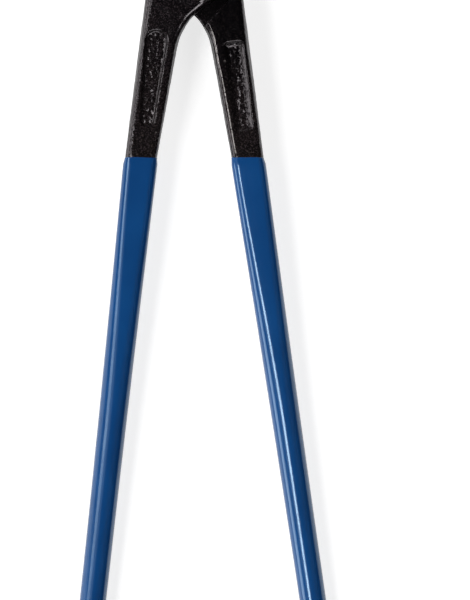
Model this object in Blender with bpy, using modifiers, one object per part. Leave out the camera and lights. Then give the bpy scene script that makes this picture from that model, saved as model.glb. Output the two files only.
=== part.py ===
"""Tower pincers for tying rebar: two crossed forged levers, the rivet they turn on and two grips.

Metres, +Z up. The closed tool lies flat with its jaws towards +Y and its handles towards -Y. The
origin is on the pivot's axis, on the joint's ground back face, so the pivot's axis is +Z.
"""

import math

import bmesh
import bpy
from mathutils import Vector

# Fits
FIT_GAP = 0.0003
CUT_OVERRUN = 0.0040
MERGE_DISTANCE = 0.000003

# Joint: the two cheeks that lie on each other, each half the joint thick
EYE_RADIUS = 0.0160
EYE_HALF_THICKNESS = 0.0078
EYE_ROUND = 0.0016
GROUND_STEP = 0.0004
EYE_MARGIN = 0.0005
CHEEK_ROUND = 0.0028
ARM_SHOULDER_DISTANCE = 0.0188
ARM_SHOULDER_ANGLE = math.radians(222.5)
JAW_SHOULDER_DISTANCE = 0.0175
JAW_SHOULDER_ANGLE = math.radians(62.0)
SHOULDER_REACH = 0.0300

# Rivet: a shank with a countersunk head at each end, ground flush with the cheeks
SHANK_RADIUS = 0.0050
RIVET_HEAD_RADIUS = 0.0064
RIVET_HEAD_DEPTH = 0.0016

# Jaws
JAW_HEIGHT = 0.0410
JAW_HALF_WIDTH = 0.0166
JAW_HALF_THICKNESS = 0.0110
JAW_ROUND = 0.0020
EDGE_LAND = 0.0004
EDGE_ROUND = 0.0002
BEVEL_ROUND = 0.0010

# Arms, from the joint down to the grips' mouths
MOUTH_DEPTH = 0.0704
MOUTH_CENTRE = 0.0190
MOUTH_HALF_WIDTH = 0.0057
MOUTH_HALF_THICKNESS = 0.0054
MOUTH_ROUND = 0.0023
ARM_ROUND = 0.0015
OUTER_ANGLE = math.radians(7.2)
INNER_ANGLE = math.radians(10.4)
CROTCH_START_DEPTH = 0.0317
CROTCH_RADIUS = 0.0226
CROTCH_TURN = math.radians(33.5)
CHEEK_DEPTH = 0.0120
DRAFT = math.tan(math.radians(6.0))

# Grips and the tangs inside them; the two handles spread unequally, as on the tool itself
FRONT_HANDLE_ANGLE = math.radians(6.2)
REAR_HANDLE_ANGLE = math.radians(8.4)
GRIP_LENGTH = 0.1895
GRIP_HALF_WIDTH = 0.0062
GRIP_HALF_THICKNESS = 0.0058
GRIP_END_HALF_WIDTH = 0.0047
GRIP_END_HALF_THICKNESS = 0.0046
GRIP_MOUTH_ROUND_SHARE = 0.40
GRIP_END_ROUND_SHARE = 0.98
GRIP_ROUND_RUN = 0.1000
GRIP_TAPER_POWER = 1.8
GRIP_WALL = 0.0010
GRIP_END_WALL = 0.0030
LIP_RUN = 0.0032
LEVEL_RUN = 0.0120
END_ROUND = 0.0046

# Recess with round ends, in the front of the front lever and the back of the rear one
ROUND_RECESS_TOP_DEPTH = 0.0252
ROUND_RECESS_BOTTOM_DEPTH = 0.0597
ROUND_RECESS_TOP_CENTRE = 0.0131
ROUND_RECESS_BOTTOM_CENTRE = 0.0171
ROUND_RECESS_TOP_HALF_WIDTH = 0.0040
ROUND_RECESS_BOTTOM_HALF_WIDTH = 0.0026
ROUND_RECESS_WALL_RUN = 0.0005

# Recess with square ends, in the front of the rear lever and the back of the front one
SQUARE_RECESS_TOP_DEPTH = 0.0291
SQUARE_RECESS_BOTTOM_DEPTH = 0.0614
SQUARE_RECESS_TOP_CENTRE = 0.0138
SQUARE_RECESS_BOTTOM_CENTRE = 0.0178
SQUARE_RECESS_TOP_HALF_WIDTH = 0.0037
SQUARE_RECESS_BOTTOM_HALF_WIDTH = 0.0034
SQUARE_RECESS_CORNER = 0.0018
SQUARE_RECESS_WALL_RUN = 0.0014
RECESS_DEPTH = 0.0014

# Jaw stations, from the bevel's upper part down to the cheek. Each holds the back's x and y, the
# throat's x and y, in shares of the jaw's half width and height, and the share of the jaw's extra
# thickness over the cheek's that is left there.
BEVEL_SHARES = (
    (0.235, 0.954, 0.036, 0.966, 1.00),
    (0.458, 0.907, 0.205, 0.893, 1.00),
)
JAW_SHARES = (
    (0.699, 0.820, 0.331, 0.812, 1.00),
    (0.880, 0.688, 0.386, 0.705, 0.84),
    (0.976, 0.524, 0.355, 0.585, 0.50),
    (1.000, 0.354, 0.235, 0.478, 0.20),
    (0.985, 0.183, -0.080, 0.380, 0.03),
)
# Angles about the pivot of the cheek's lower and upper edge, from the jaw round to the arm
CHEEK_ANGLES = tuple(
    (math.radians(under), math.radians(over)) for under, over in ((2, 120), (-28, 146), (-58, 172))
)

# Steps of the meshes
CORNER_STEPS = 4
GRIP_CORNER_STEPS = 6
SMOOTH_STEPS = 4
ARM_STEPS = 4
CROTCH_STEPS = 4
HANDLE_STEPS = 14
LIP_STEPS = 4
DOME_STEPS = 5
ROUND_STEPS = 64
ARC_STEPS = 8

# Edges sharper than this stay sharp in the shading
SHARP_ANGLE = math.radians(30.0)

CHEEK_HALF_THICKNESS = EYE_HALF_THICKNESS - GROUND_STEP

STEEL_COLOUR = (0.012, 0.011, 0.011, 1.0)
RIVET_COLOUR = (0.045, 0.043, 0.042, 1.0)
GRIP_COLOUR = (0.006, 0.050, 0.190, 1.0)


def clear_scene():
    for item in list(bpy.data.objects):
        bpy.data.objects.remove(item, do_unlink=True)


def material(name, colour, roughness, metallic):
    made = bpy.data.materials.new(name)
    made.use_nodes = True
    shader = made.node_tree.nodes["Principled BSDF"]
    shader.inputs["Base Color"].default_value = colour
    shader.inputs["Roughness"].default_value = roughness
    shader.inputs["Metallic"].default_value = metallic
    return made


def collection(name):
    made = bpy.data.collections.new(name)
    bpy.context.scene.collection.children.link(made)
    return made


def empty(name, place, owner):
    made = bpy.data.objects.new(name, None)
    made.location = place
    owner.objects.link(made)
    return made


def add_object(name, mesh, owner, parent=None, finish=None):
    made = bpy.data.objects.new(name, mesh)
    made.parent = parent
    if finish:
        mesh.materials.append(finish)
    owner.objects.link(made)
    return made


def as_cutter(made):
    made.hide_render = True
    made.display_type = "WIRE"
    return made


def section(half_width, half_thickness, corner, draft, steps):
    """A rounded rectangle (across, along Z) whose two sides lean in from a ridge at mid height."""
    corner = min(corner, half_width, half_thickness)
    points = [(half_width, 0.0)]
    for quarter, (side, face) in enumerate(((1, 1), (-1, 1), (-1, -1), (1, -1))):
        if quarter == 2:
            points.append((-half_width, 0.0))
        for step in range(steps + 1):
            angle = math.pi / 2 * (quarter + step / steps)
            across = side * (half_width - corner) + corner * math.cos(angle)
            up = face * (half_thickness - corner) + corner * math.sin(angle)
            points.append((across - side * draft * abs(up), up))
    return points


def ring(station, steps):
    """A section laid between a station's under point and over point."""
    under = Vector((station[0], station[1], 0.0))
    over = Vector((station[2], station[3], 0.0))
    centre = (under + over) / 2
    across = (under - over).normalized()
    half_width = (under - over).length / 2
    shape = section(half_width, station[4], station[5], station[6], steps)
    return [centre + across * s + Vector((0.0, 0.0, z)) for s, z in shape]


def loft(name, rings):
    """One closed skin through rings of equally many points, capped at both ends."""
    shape = bmesh.new()
    rows = [[shape.verts.new(point) for point in each] for each in rings]
    for first, second in zip(rows, rows[1:]):
        for i in range(len(first)):
            j = (i + 1) % len(first)
            shape.faces.new((first[i], first[j], second[j], second[i]))
    shape.faces.new(list(reversed(rows[0])))
    shape.faces.new(rows[-1])
    bmesh.ops.remove_doubles(shape, verts=shape.verts, dist=MERGE_DISTANCE)
    bmesh.ops.recalc_face_normals(shape, faces=shape.faces)
    mesh = bpy.data.meshes.new(name)
    shape.to_mesh(mesh)
    shape.free()
    return mesh


def smooth_stations(stations, steps):
    """Catmull-Rom stations through the given ones, with the ends kept."""
    padded = [stations[0], *stations, stations[-1]]
    found = []
    for a, b, c, d in zip(padded, padded[1:], padded[2:], padded[3:]):
        for step in range(steps):
            t = step / steps
            found.append(
                [
                    0.5 * (2 * q + t * (r - p) + t * t * (2 * p - 5 * q + 4 * r - s)
                           + t * t * t * (3 * q - p - 3 * r + s))
                    for p, q, r, s in zip(a, b, c, d)
                ]
            )
    return [*found, stations[-1]]


def polar(radius, angle):
    return radius * math.cos(angle), radius * math.sin(angle)


def arm_half_thickness(y):
    """The arm thins evenly from the cheek to the grip's mouth."""
    share = (-y - CHEEK_DEPTH) / (MOUTH_DEPTH - CHEEK_DEPTH)
    return CHEEK_HALF_THICKNESS + (MOUTH_HALF_THICKNESS - CHEEK_HALF_THICKNESS) * max(share, 0.0)


def outer_edge(y):
    """x of the arm's outer edge."""
    return -(MOUTH_CENTRE + MOUTH_HALF_WIDTH) + (y + MOUTH_DEPTH) * math.tan(OUTER_ANGLE)


def inner_edge(y):
    """x of the straight part of the arm's inner edge."""
    return -(MOUTH_CENTRE - MOUTH_HALF_WIDTH) + (y + MOUTH_DEPTH) * math.tan(INNER_ANGLE)


def crotch_point(turn):
    """The inner edge above its straight part: an arc that bends in under the joint."""
    start_y = -CROTCH_START_DEPTH
    centre_x = inner_edge(start_y) + CROTCH_RADIUS * math.cos(INNER_ANGLE)
    centre_y = start_y - CROTCH_RADIUS * math.sin(INNER_ANGLE)
    angle = math.pi - INNER_ANGLE - turn
    return centre_x + CROTCH_RADIUS * math.cos(angle), centre_y + CROTCH_RADIUS * math.sin(angle)


def jaw_stations(shares, round_edge):
    stations = []
    extra = JAW_HALF_THICKNESS - CHEEK_HALF_THICKNESS
    for back_x, back_y, throat_x, throat_y, share in shares:
        stations.append(
            (
                back_x * JAW_HALF_WIDTH,
                back_y * JAW_HEIGHT,
                throat_x * JAW_HALF_WIDTH,
                throat_y * JAW_HEIGHT,
                CHEEK_HALF_THICKNESS + share * extra,
                round_edge,
                0.0,
            )
        )
    return stations


def edge_station():
    """The cutting edge: a narrow land at the top of the bevel, half a gap from the other jaw's."""
    return (
        FIT_GAP / 2 + EDGE_LAND,
        JAW_HEIGHT - EDGE_LAND / 2,
        FIT_GAP / 2,
        JAW_HEIGHT,
        JAW_HALF_THICKNESS,
        EDGE_ROUND,
        0.0,
    )


def cheek_stations():
    radius = EYE_RADIUS - EYE_MARGIN
    return [
        (*polar(radius, under), *polar(radius, over), CHEEK_HALF_THICKNESS, CHEEK_ROUND, 0.0)
        for under, over in CHEEK_ANGLES
    ]


def crotch_stations():
    stations = []
    for step in range(CROTCH_STEPS + 1):
        share = step / CROTCH_STEPS
        y = -CHEEK_DEPTH + share * (CHEEK_DEPTH - CROTCH_START_DEPTH)
        edge_round = CHEEK_ROUND + share * (ARM_ROUND - CHEEK_ROUND)
        stations.append(
            (
                *crotch_point(CROTCH_TURN * (1 - share)),
                outer_edge(y),
                y,
                arm_half_thickness(y),
                edge_round,
                DRAFT * share,
            )
        )
    return stations


def arm_stations():
    stations = []
    for step in range(1, ARM_STEPS + 1):
        share = step / ARM_STEPS
        y = -CROTCH_START_DEPTH + share * (CROTCH_START_DEPTH - MOUTH_DEPTH)
        edge_round = ARM_ROUND + share * share * (MOUTH_ROUND - ARM_ROUND)
        stations.append(
            (inner_edge(y), y, outer_edge(y), y, arm_half_thickness(y), edge_round, DRAFT * (1 - share))
        )
    return stations


def grip_size(distance):
    """Half width and half thickness of the grip at a distance below its mouth."""
    left = (1 - distance / GRIP_LENGTH) ** GRIP_TAPER_POWER
    half_width = GRIP_END_HALF_WIDTH + (GRIP_HALF_WIDTH - GRIP_END_HALF_WIDTH) * left
    half_thickness = GRIP_END_HALF_THICKNESS
    half_thickness += (GRIP_HALF_THICKNESS - GRIP_END_HALF_THICKNESS) * left
    return half_width, half_thickness


def grip_corner(distance, half_width, half_thickness):
    """Corner radius: the grip is flat in front at its mouth and nearly round further down."""
    share = min(distance / GRIP_ROUND_RUN, 1.0)
    eased = share * share * (3 - 2 * share)
    round_share = GRIP_MOUTH_ROUND_SHARE + (GRIP_END_ROUND_SHARE - GRIP_MOUTH_ROUND_SHARE) * eased
    return min(half_width, half_thickness) * round_share


def handle_station(distance, angle, half_width, half_thickness, corner):
    """A station of the handle: level at the mouth, soon square to the handle's own line."""
    centre_x = -MOUTH_CENTRE - distance * math.sin(angle)
    centre_y = -MOUTH_DEPTH - distance * math.cos(angle)
    tilt = angle * min(distance / LEVEL_RUN, 1.0)
    run = half_width * math.cos(tilt)
    rise = half_width * math.sin(tilt)
    return (
        centre_x + run,
        centre_y - rise,
        centre_x - run,
        centre_y + rise,
        half_thickness,
        corner,
        0.0,
    )


def handle_stations(start, end, inset, angle):
    """The handle's skin at a depth under the grip's own, from start to a domed end."""
    dome = END_ROUND - inset
    stations = []
    for step in range(HANDLE_STEPS + 1):
        distance = start + (end - dome - start) * step / HANDLE_STEPS
        half_width, half_thickness = (size - inset for size in grip_size(distance))
        corner = grip_corner(distance, half_width, half_thickness)
        stations.append(handle_station(distance, angle, half_width, half_thickness, corner))
    for step in range(1, DOME_STEPS + 1):
        turn = math.pi / 2 * step / (DOME_STEPS + 1)
        distance = end - dome + dome * math.sin(turn)
        half_width, half_thickness = (
            (size - inset) * math.cos(turn) for size in grip_size(distance)
        )
        corner = grip_corner(distance, half_width, half_thickness)
        stations.append(handle_station(distance, angle, half_width, half_thickness, corner))
    return stations


def lip_stations(angle):
    """The grip's lip: level with the steel at the mouth, swelling to the grip's full size."""
    stations = []
    for step in range(LIP_STEPS):
        distance = FIT_GAP + (LIP_RUN - FIT_GAP) * step / LIP_STEPS
        share = (distance - FIT_GAP) / (LIP_RUN - FIT_GAP)
        swell = share * share * (3 - 2 * share)
        half_width, half_thickness = grip_size(distance)
        half_width = MOUTH_HALF_WIDTH + (half_width - MOUTH_HALF_WIDTH) * swell
        half_thickness = MOUTH_HALF_THICKNESS + (half_thickness - MOUTH_HALF_THICKNESS) * swell
        full_corner = grip_corner(distance, half_width, half_thickness)
        corner = MOUTH_ROUND + (full_corner - MOUTH_ROUND) * swell
        stations.append(handle_station(distance, angle, half_width, half_thickness, corner))
    return stations


def lever_mesh(name, angle):
    """The forging as one loft: jaw, cheek, arm and the tang inside the grip."""
    forged = [
        *jaw_stations(BEVEL_SHARES[-1:], BEVEL_ROUND),
        *jaw_stations(JAW_SHARES, JAW_ROUND),
        *cheek_stations(),
        *crotch_stations(),
    ]
    tang_end = GRIP_LENGTH - GRIP_END_WALL - FIT_GAP
    stations = [
        edge_station(),
        *jaw_stations(BEVEL_SHARES[:-1], EDGE_ROUND + BEVEL_ROUND / 2),
        *smooth_stations(forged, SMOOTH_STEPS),
        *arm_stations(),
        *handle_stations(0.0, tang_end, GRIP_WALL + FIT_GAP, angle),
    ]
    return loft(name, [ring(station, CORNER_STEPS) for station in stations])


def grip_mesh(name, angle):
    """A sleeve closed at its far end: up its bore, over the lip and down its outside."""
    bore = handle_stations(FIT_GAP, GRIP_LENGTH - GRIP_END_WALL, GRIP_WALL, angle)
    outside = handle_stations(LIP_RUN, GRIP_LENGTH, 0.0, angle)
    stations = [*reversed(bore), *lip_stations(angle), *outside]
    return loft(name, [ring(station, GRIP_CORNER_STEPS) for station in stations])


def turned(name, profile, owner, parent=None, finish=None):
    """A profile of (radius, height) points, top to bottom, turned about Z."""
    mesh = bpy.data.meshes.new(name)
    points = [(radius, 0.0, height) for radius, height in profile]
    mesh.from_pydata(points, [(i, i + 1) for i in range(len(points) - 1)], [])
    made = add_object(name, mesh, owner, parent, finish)
    spin = made.modifiers.new("spin", "SCREW")
    spin.axis = "Z"
    spin.steps = ROUND_STEPS
    spin.render_steps = ROUND_STEPS
    spin.use_merge_vertices = True
    spin.merge_threshold = MERGE_DISTANCE
    spin.use_smooth_shade = False
    return made


def eye_profile():
    """The eye's ground boss, with rounded rims."""
    upper = [(0.0, EYE_HALF_THICKNESS)]
    inside = EYE_RADIUS - EYE_ROUND
    for step in range(ARC_STEPS + 1):
        turn = math.pi / 2 * (1 - step / ARC_STEPS)
        height = EYE_HALF_THICKNESS - EYE_ROUND + EYE_ROUND * math.sin(turn)
        upper.append((inside + EYE_ROUND * math.cos(turn), height))
    return [*upper, *((radius, -height) for radius, height in reversed(upper))]


def rivet_profile(clearance, overrun):
    """The rivet, or with a clearance and an overrun the countersunk hole for it."""
    top = EYE_HALF_THICKNESS + overrun
    neck = EYE_HALF_THICKNESS - RIVET_HEAD_DEPTH
    head = RIVET_HEAD_RADIUS + clearance
    shank = SHANK_RADIUS + clearance
    upper = [(0.0, top), (head, top), (shank, neck)]
    if overrun:
        upper.insert(2, (head, EYE_HALF_THICKNESS))
    return [*upper, *((radius, -height) for radius, height in reversed(upper))]


def lap_cutter(name, owner, parent):
    """What is taken off the lever's back half, so the other lever's cheek can lie and swing there."""
    arm_line = Vector(polar(1, ARM_SHOULDER_ANGLE))
    jaw_line = Vector(polar(1, JAW_SHOULDER_ANGLE))
    arm_across = Vector((-arm_line.y, arm_line.x)) * SHOULDER_REACH
    jaw_across = Vector((-jaw_line.y, jaw_line.x)) * SHOULDER_REACH
    arm_foot = arm_line * ARM_SHOULDER_DISTANCE
    jaw_foot = jaw_line * JAW_SHOULDER_DISTANCE
    outline = (
        arm_foot + arm_across,
        jaw_foot - jaw_across,
        jaw_foot + jaw_across,
        arm_foot - arm_across,
    )
    bottom = -(JAW_HALF_THICKNESS + CUT_OVERRUN)
    rings = [[(point.x, point.y, z) for point in outline] for z in (bottom, FIT_GAP / 2)]
    return as_cutter(add_object(name, loft(name, rings), owner, parent))


def recess_outline(top, bottom, top_half, bottom_half, top_corner, bottom_corner, inset):
    """A tapered slot with rounded corners, drawn in by an inset."""
    along = (bottom - top).normalized()
    across = Vector((-along.y, along.x))
    points = []
    corners = (
        (top, 1, top_half, top_corner, 1),
        (top, -1, top_half, top_corner, 1),
        (bottom, -1, bottom_half, bottom_corner, -1),
        (bottom, 1, bottom_half, bottom_corner, -1),
    )
    for quarter, (end, side, half, corner, inward) in enumerate(corners):
        centre = end + across * side * (half - corner) + along * inward * corner
        for step in range(ARC_STEPS + 1):
            turn = math.pi / 2 * (quarter + step / ARC_STEPS)
            out = across * math.cos(turn) - along * math.sin(turn)
            points.append(centre + out * (corner - inset))
    return points


def recess_cutter(name, owner, parent, face, shape, wall_run):
    """A sunk panel that follows the arm's face, with leaning walls. Face is 1 in front, -1 behind."""
    slope = wall_run / RECESS_DEPTH
    rings = []
    for inset, lift in ((wall_run, -RECESS_DEPTH), (-slope * GROUND_STEP, GROUND_STEP)):
        outline = recess_outline(*shape, inset)
        rings.append(
            [(point.x, point.y, face * (arm_half_thickness(point.y) + lift)) for point in outline]
        )
    return as_cutter(add_object(name, loft(name, rings), owner, parent))


def round_recess():
    return (
        Vector((-ROUND_RECESS_TOP_CENTRE, -ROUND_RECESS_TOP_DEPTH)),
        Vector((-ROUND_RECESS_BOTTOM_CENTRE, -ROUND_RECESS_BOTTOM_DEPTH)),
        ROUND_RECESS_TOP_HALF_WIDTH,
        ROUND_RECESS_BOTTOM_HALF_WIDTH,
        ROUND_RECESS_TOP_HALF_WIDTH,
        ROUND_RECESS_BOTTOM_HALF_WIDTH,
    )


def square_recess():
    return (
        Vector((-SQUARE_RECESS_TOP_CENTRE, -SQUARE_RECESS_TOP_DEPTH)),
        Vector((-SQUARE_RECESS_BOTTOM_CENTRE, -SQUARE_RECESS_BOTTOM_DEPTH)),
        SQUARE_RECESS_TOP_HALF_WIDTH,
        SQUARE_RECESS_BOTTOM_HALF_WIDTH,
        SQUARE_RECESS_CORNER,
        SQUARE_RECESS_CORNER,
    )


def shade_round(mesh):
    mesh.shade_smooth()
    mesh.set_sharp_from_angle(angle=SHARP_ANGLE)


def boolean(made, operation, other):
    step = made.modifiers.new(other.name, "BOOLEAN")
    step.operation = operation
    step.solver = "EXACT"
    step.object = other


def add_lever(side, angle, pivot, owner, cutters, finish):
    """A forging with its eye joined on, its back half taken off at the joint, its hole and recesses."""
    name = f"{side}_lever"
    mesh = lever_mesh(name, angle)
    shade_round(mesh)
    made = add_object(name, mesh, owner, pivot, finish)
    eye = turned(f"{side}_eye", eye_profile(), cutters, pivot)
    hole = turned(f"{side}_rivet_hole", rivet_profile(FIT_GAP, CUT_OVERRUN), cutters, pivot)
    boolean(made, "UNION", as_cutter(eye))
    boolean(made, "DIFFERENCE", lap_cutter(f"{side}_lap", cutters, pivot))
    boolean(made, "DIFFERENCE", as_cutter(hole))
    for label, face, shape, wall_run in (
        ("round_recess", 1, round_recess(), ROUND_RECESS_WALL_RUN),
        ("square_recess", -1, square_recess(), SQUARE_RECESS_WALL_RUN),
    ):
        cutter = recess_cutter(f"{side}_{label}", cutters, pivot, face, shape, wall_run)
        boolean(made, "DIFFERENCE", cutter)
    return made


def add_grip(side, angle, pivot, owner, finish):
    name = f"{side}_grip"
    mesh = grip_mesh(name, angle)
    shade_round(mesh)
    return add_object(name, mesh, owner, pivot, finish)


def build():
    clear_scene()
    tool = collection("rebar_tying_pliers")
    cutters = collection("cutters")

    steel = material("forged_steel", STEEL_COLOUR, 0.45, 0.3)
    rivet_steel = material("rivet_steel", RIVET_COLOUR, 0.40, 0.6)
    plastic = material("blue_grip", GRIP_COLOUR, 0.25, 0.0)

    joint = (0.0, 0.0, EYE_HALF_THICKNESS)
    front = empty("front_pivot", joint, tool)
    rear = empty("rear_pivot", joint, tool)
    # The rear lever is the same forging turned over about the tool's length.
    rear.rotation_euler.y = math.pi

    for side, angle, pivot in (
        ("front", FRONT_HANDLE_ANGLE, front),
        ("rear", REAR_HANDLE_ANGLE, rear),
    ):
        add_lever(side, angle, pivot, tool, cutters, steel)
        add_grip(side, angle, pivot, tool, plastic)
    rivet = turned("pivot_rivet", rivet_profile(0.0, 0.0), tool, front, rivet_steel)
    shade_round(rivet.data)


build()
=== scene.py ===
"""Looks of the tower pincers for tying rebar: forged levers, rivet and dipped grips.

Metres, in the part's own frame: the pivot's axis is +Z through the origin, the jaws point to +Y.
"""

import math

import bmesh
import bpy
import numpy as np
from mathutils import Matrix, Vector, noise


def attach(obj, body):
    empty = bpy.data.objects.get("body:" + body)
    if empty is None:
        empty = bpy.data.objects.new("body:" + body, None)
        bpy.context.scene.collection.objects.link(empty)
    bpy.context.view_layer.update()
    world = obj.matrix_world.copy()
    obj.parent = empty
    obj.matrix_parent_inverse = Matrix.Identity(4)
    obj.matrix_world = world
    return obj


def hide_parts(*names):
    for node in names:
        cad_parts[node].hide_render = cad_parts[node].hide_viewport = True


# Fits
FIT_GAP = 0.0003
HOLE_GAP = 0.00006
MERGE_DISTANCE = 0.000001

# Joint
EYE_RADIUS = 0.0160
EYE_HALF_THICKNESS = 0.0078
EYE_ROUND = 0.0016
GROUND_STEP = 0.0002
EYE_MARGIN = 0.0005
CHEEK_ROUND = 0.0028
ARM_SHOULDER_DISTANCE = 0.0188
ARM_SHOULDER_ANGLE = math.radians(222.5)
JAW_SHOULDER_DISTANCE = 0.0175
JAW_SHOULDER_ANGLE = math.radians(62.0)
SHOULDER_REACH = 0.0300

# Rivet
SHANK_RADIUS = 0.0050
RIVET_HEAD_RADIUS = 0.0064
RIVET_HEAD_DEPTH = 0.0016
RIVET_CHAMFER = 0.00018
RIVET_FACE_SHARES = (0.25, 0.5, 0.75)
RIVET_SHARP_ANGLE = math.radians(25)

# Jaws
JAW_HEIGHT = 0.0410
JAW_HALF_WIDTH = 0.0166
JAW_HALF_THICKNESS = 0.0110
JAW_ROUND = 0.0020
EDGE_ROUND = 0.0006
GRIND_ALLOWANCE = 0.0007
GRIND_REACH = 0.0060
GRIND_STATIONS = 2

# Arms
MOUTH_DEPTH = 0.0704
MOUTH_CENTRE = 0.0190
MOUTH_HALF_WIDTH = 0.0057
MOUTH_HALF_THICKNESS = 0.0054
MOUTH_ROUND = 0.0023
ARM_ROUND = 0.0015
OUTER_ANGLE = math.radians(7.2)
INNER_ANGLE = math.radians(10.4)
CROTCH_START_DEPTH = 0.0317
CROTCH_RADIUS = 0.0226
CROTCH_TURN = math.radians(33.5)
CHEEK_DEPTH = 0.0120
DRAFT = math.tan(math.radians(6.0))
STUB_LENGTH = 0.0045
TANG_OVERLAP = 0.0015

# Grips
FRONT_HANDLE_ANGLE = math.radians(6.2)
REAR_HANDLE_ANGLE = math.radians(8.4)
GRIP_LENGTH = 0.1895
GRIP_HALF_WIDTH = 0.0062
GRIP_HALF_THICKNESS = 0.0058
GRIP_END_HALF_WIDTH = 0.0047
GRIP_END_HALF_THICKNESS = 0.0046
GRIP_MOUTH_ROUND_SHARE = 0.50
GRIP_END_ROUND_SHARE = 0.98
GRIP_ROUND_RUN = 0.1000
GRIP_TAPER_POWER = 1.8
GRIP_WALL = 0.0010
GRIP_END_WALL = 0.0030
LIP_RUN = 0.0030
LIP_ROUND = 0.0003
LIP_EDGE = 0.0004
LIP_WAVE_SIZE, LIP_WAVE_DEPTH, LIP_WAVE_SHIFT = 0.0042, 0.00022, 0.5
GRIP_WAVE_SIZE, GRIP_WAVE_DEPTH = 0.014, 0.00003
LEVEL_RUN = 0.0120
END_ROUND = 0.0046

# Recesses
ROUND_RECESS_TOP_DEPTH = 0.0252
ROUND_RECESS_BOTTOM_DEPTH = 0.0597
ROUND_RECESS_TOP_CENTRE = 0.0131
ROUND_RECESS_BOTTOM_CENTRE = 0.0171
ROUND_RECESS_TOP_HALF_WIDTH = 0.0040
ROUND_RECESS_BOTTOM_HALF_WIDTH = 0.0026
ROUND_RECESS_WALL_RUN = 0.0003
SQUARE_RECESS_TOP_DEPTH = 0.0291
SQUARE_RECESS_BOTTOM_DEPTH = 0.0614
SQUARE_RECESS_TOP_CENTRE = 0.0138
SQUARE_RECESS_BOTTOM_CENTRE = 0.0178
SQUARE_RECESS_TOP_HALF_WIDTH = 0.0037
SQUARE_RECESS_BOTTOM_HALF_WIDTH = 0.0034
SQUARE_RECESS_CORNER = 0.0018
SQUARE_RECESS_WALL_RUN = 0.0017
RECESS_DEPTH = 0.0014
RECESS_CUT_RISE = 0.0002
CUT_OVERRUN = 0.0040

# Each recess: its two ends, and its half widths and corners at the top and at the bottom
ROUND_RECESS = (
    Vector((-ROUND_RECESS_TOP_CENTRE, -ROUND_RECESS_TOP_DEPTH)),
    Vector((-ROUND_RECESS_BOTTOM_CENTRE, -ROUND_RECESS_BOTTOM_DEPTH)),
    ROUND_RECESS_TOP_HALF_WIDTH,
    ROUND_RECESS_BOTTOM_HALF_WIDTH,
    ROUND_RECESS_TOP_HALF_WIDTH,
    ROUND_RECESS_BOTTOM_HALF_WIDTH,
)
SQUARE_RECESS = (
    Vector((-SQUARE_RECESS_TOP_CENTRE, -SQUARE_RECESS_TOP_DEPTH)),
    Vector((-SQUARE_RECESS_BOTTOM_CENTRE, -SQUARE_RECESS_BOTTOM_DEPTH)),
    SQUARE_RECESS_TOP_HALF_WIDTH,
    SQUARE_RECESS_BOTTOM_HALF_WIDTH,
    SQUARE_RECESS_CORNER,
    SQUARE_RECESS_CORNER,
)

# Jaw stations from the top: back and throat in shares of its size, and its share of thickening
JAW_SHARES = (
    (0.235, 0.954, 0.036, 0.966, 1.00),
    (0.458, 0.907, 0.205, 0.893, 1.00),
    (0.699, 0.820, 0.331, 0.812, 1.00),
    (0.880, 0.688, 0.386, 0.705, 0.84),
    (0.976, 0.524, 0.355, 0.585, 0.50),
    (1.000, 0.354, 0.235, 0.478, 0.20),
    (0.985, 0.183, -0.080, 0.380, 0.03),
)
CHEEK_ANGLES = tuple(
    (math.radians(under), math.radians(over)) for under, over in ((2, 120), (-28, 146), (-58, 172))
)
CHEEK_HALF_THICKNESS = EYE_HALF_THICKNESS - GROUND_STEP

# Forged surface: its cells, its softening, and the size and depth of its unevenness
VOXEL = 0.0003
SOFTEN_ROUNDS, SOFTEN_FACTOR = 2, 0.5
WAVE_SIZE, WAVE_DEPTH = 0.0075, 0.00005
LUMP_SIZE, LUMP_DEPTH = 0.0019, 0.00003
GRAIN_SIZE, GRAIN_DEPTH = 0.0007, 0.000014
SKIN_BIAS = 0.00007
FORGED_SHARP_ANGLE = math.radians(38)

# Random draws: how far a seed shifts them along each axis, and the seeds of the pieces
SEED_SHIFT = (7.3, 3.1, 5.7)
FRONT_SEED, REAR_SEED, GRIP_SEED_SHIFT = 1, 11, 20

# Machined faces: what counts as lying on them, and the share of the unevenness left there
LAP_BAND, LAP_FACING = 0.0006, 0.8
EYE_FACE_BAND = 0.0002
MACHINED_SHARE = 0.15

# Recess floors: their pits, the fade towards the walls, and the depth at which a floor starts
FLOOR_LUMP_SIZE, FLOOR_LUMP_DEPTH = 0.0013, 0.00018
FLOOR_GRAIN_SIZE, FLOOR_GRAIN_DEPTH = 0.0007, 0.00010
FLOOR_FADE_ACROSS, FLOOR_FADE_ALONG = 0.0012, 0.0016
FLOOR_START_SHARE, FLOOR_FULL_SHARE = 0.3, 0.7

# Trimmed flash along the sides: its size, its start under the cheek, and how much it changes
FLASH_HALF_WIDTH, FLASH_HEIGHT = 0.0006, 0.00010
FLASH_START, FLASH_FULL = 0.008, 0.012
FLASH_FACING = 0.6
FLASH_CHANGE = 0.5

# Rubbed crests where a face meets its rounding, painted bright as bare steel that also stands in
# for their highlight, and how strong that painted highlight is at the crotch
CREST_HALF_WIDTH, CREST_HEIGHT = 0.00030, 0.00008
CREST_FADE = 0.0020
CREST_FACING = 0.7
CROTCH_HIGHLIGHT_SHARE = 0.2
RUBBED_HIGHLIGHT = "rubbed_highlight"
# Where they run: at the crotch in front, and behind along the inner edge
CROTCH_CREST = ((-0.0052, -0.0215), (-0.0037, -0.0191), (-0.0008, -0.0162), (0.0017, -0.0143))
INNER_CREST = (
    (-0.0053, -0.0228),
    (-0.0071, -0.0279),
    (-0.0088, -0.0375),
    (-0.0101, -0.0429),
    (-0.0125, -0.0561),
    (-0.0150, -0.0704),
)

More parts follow.
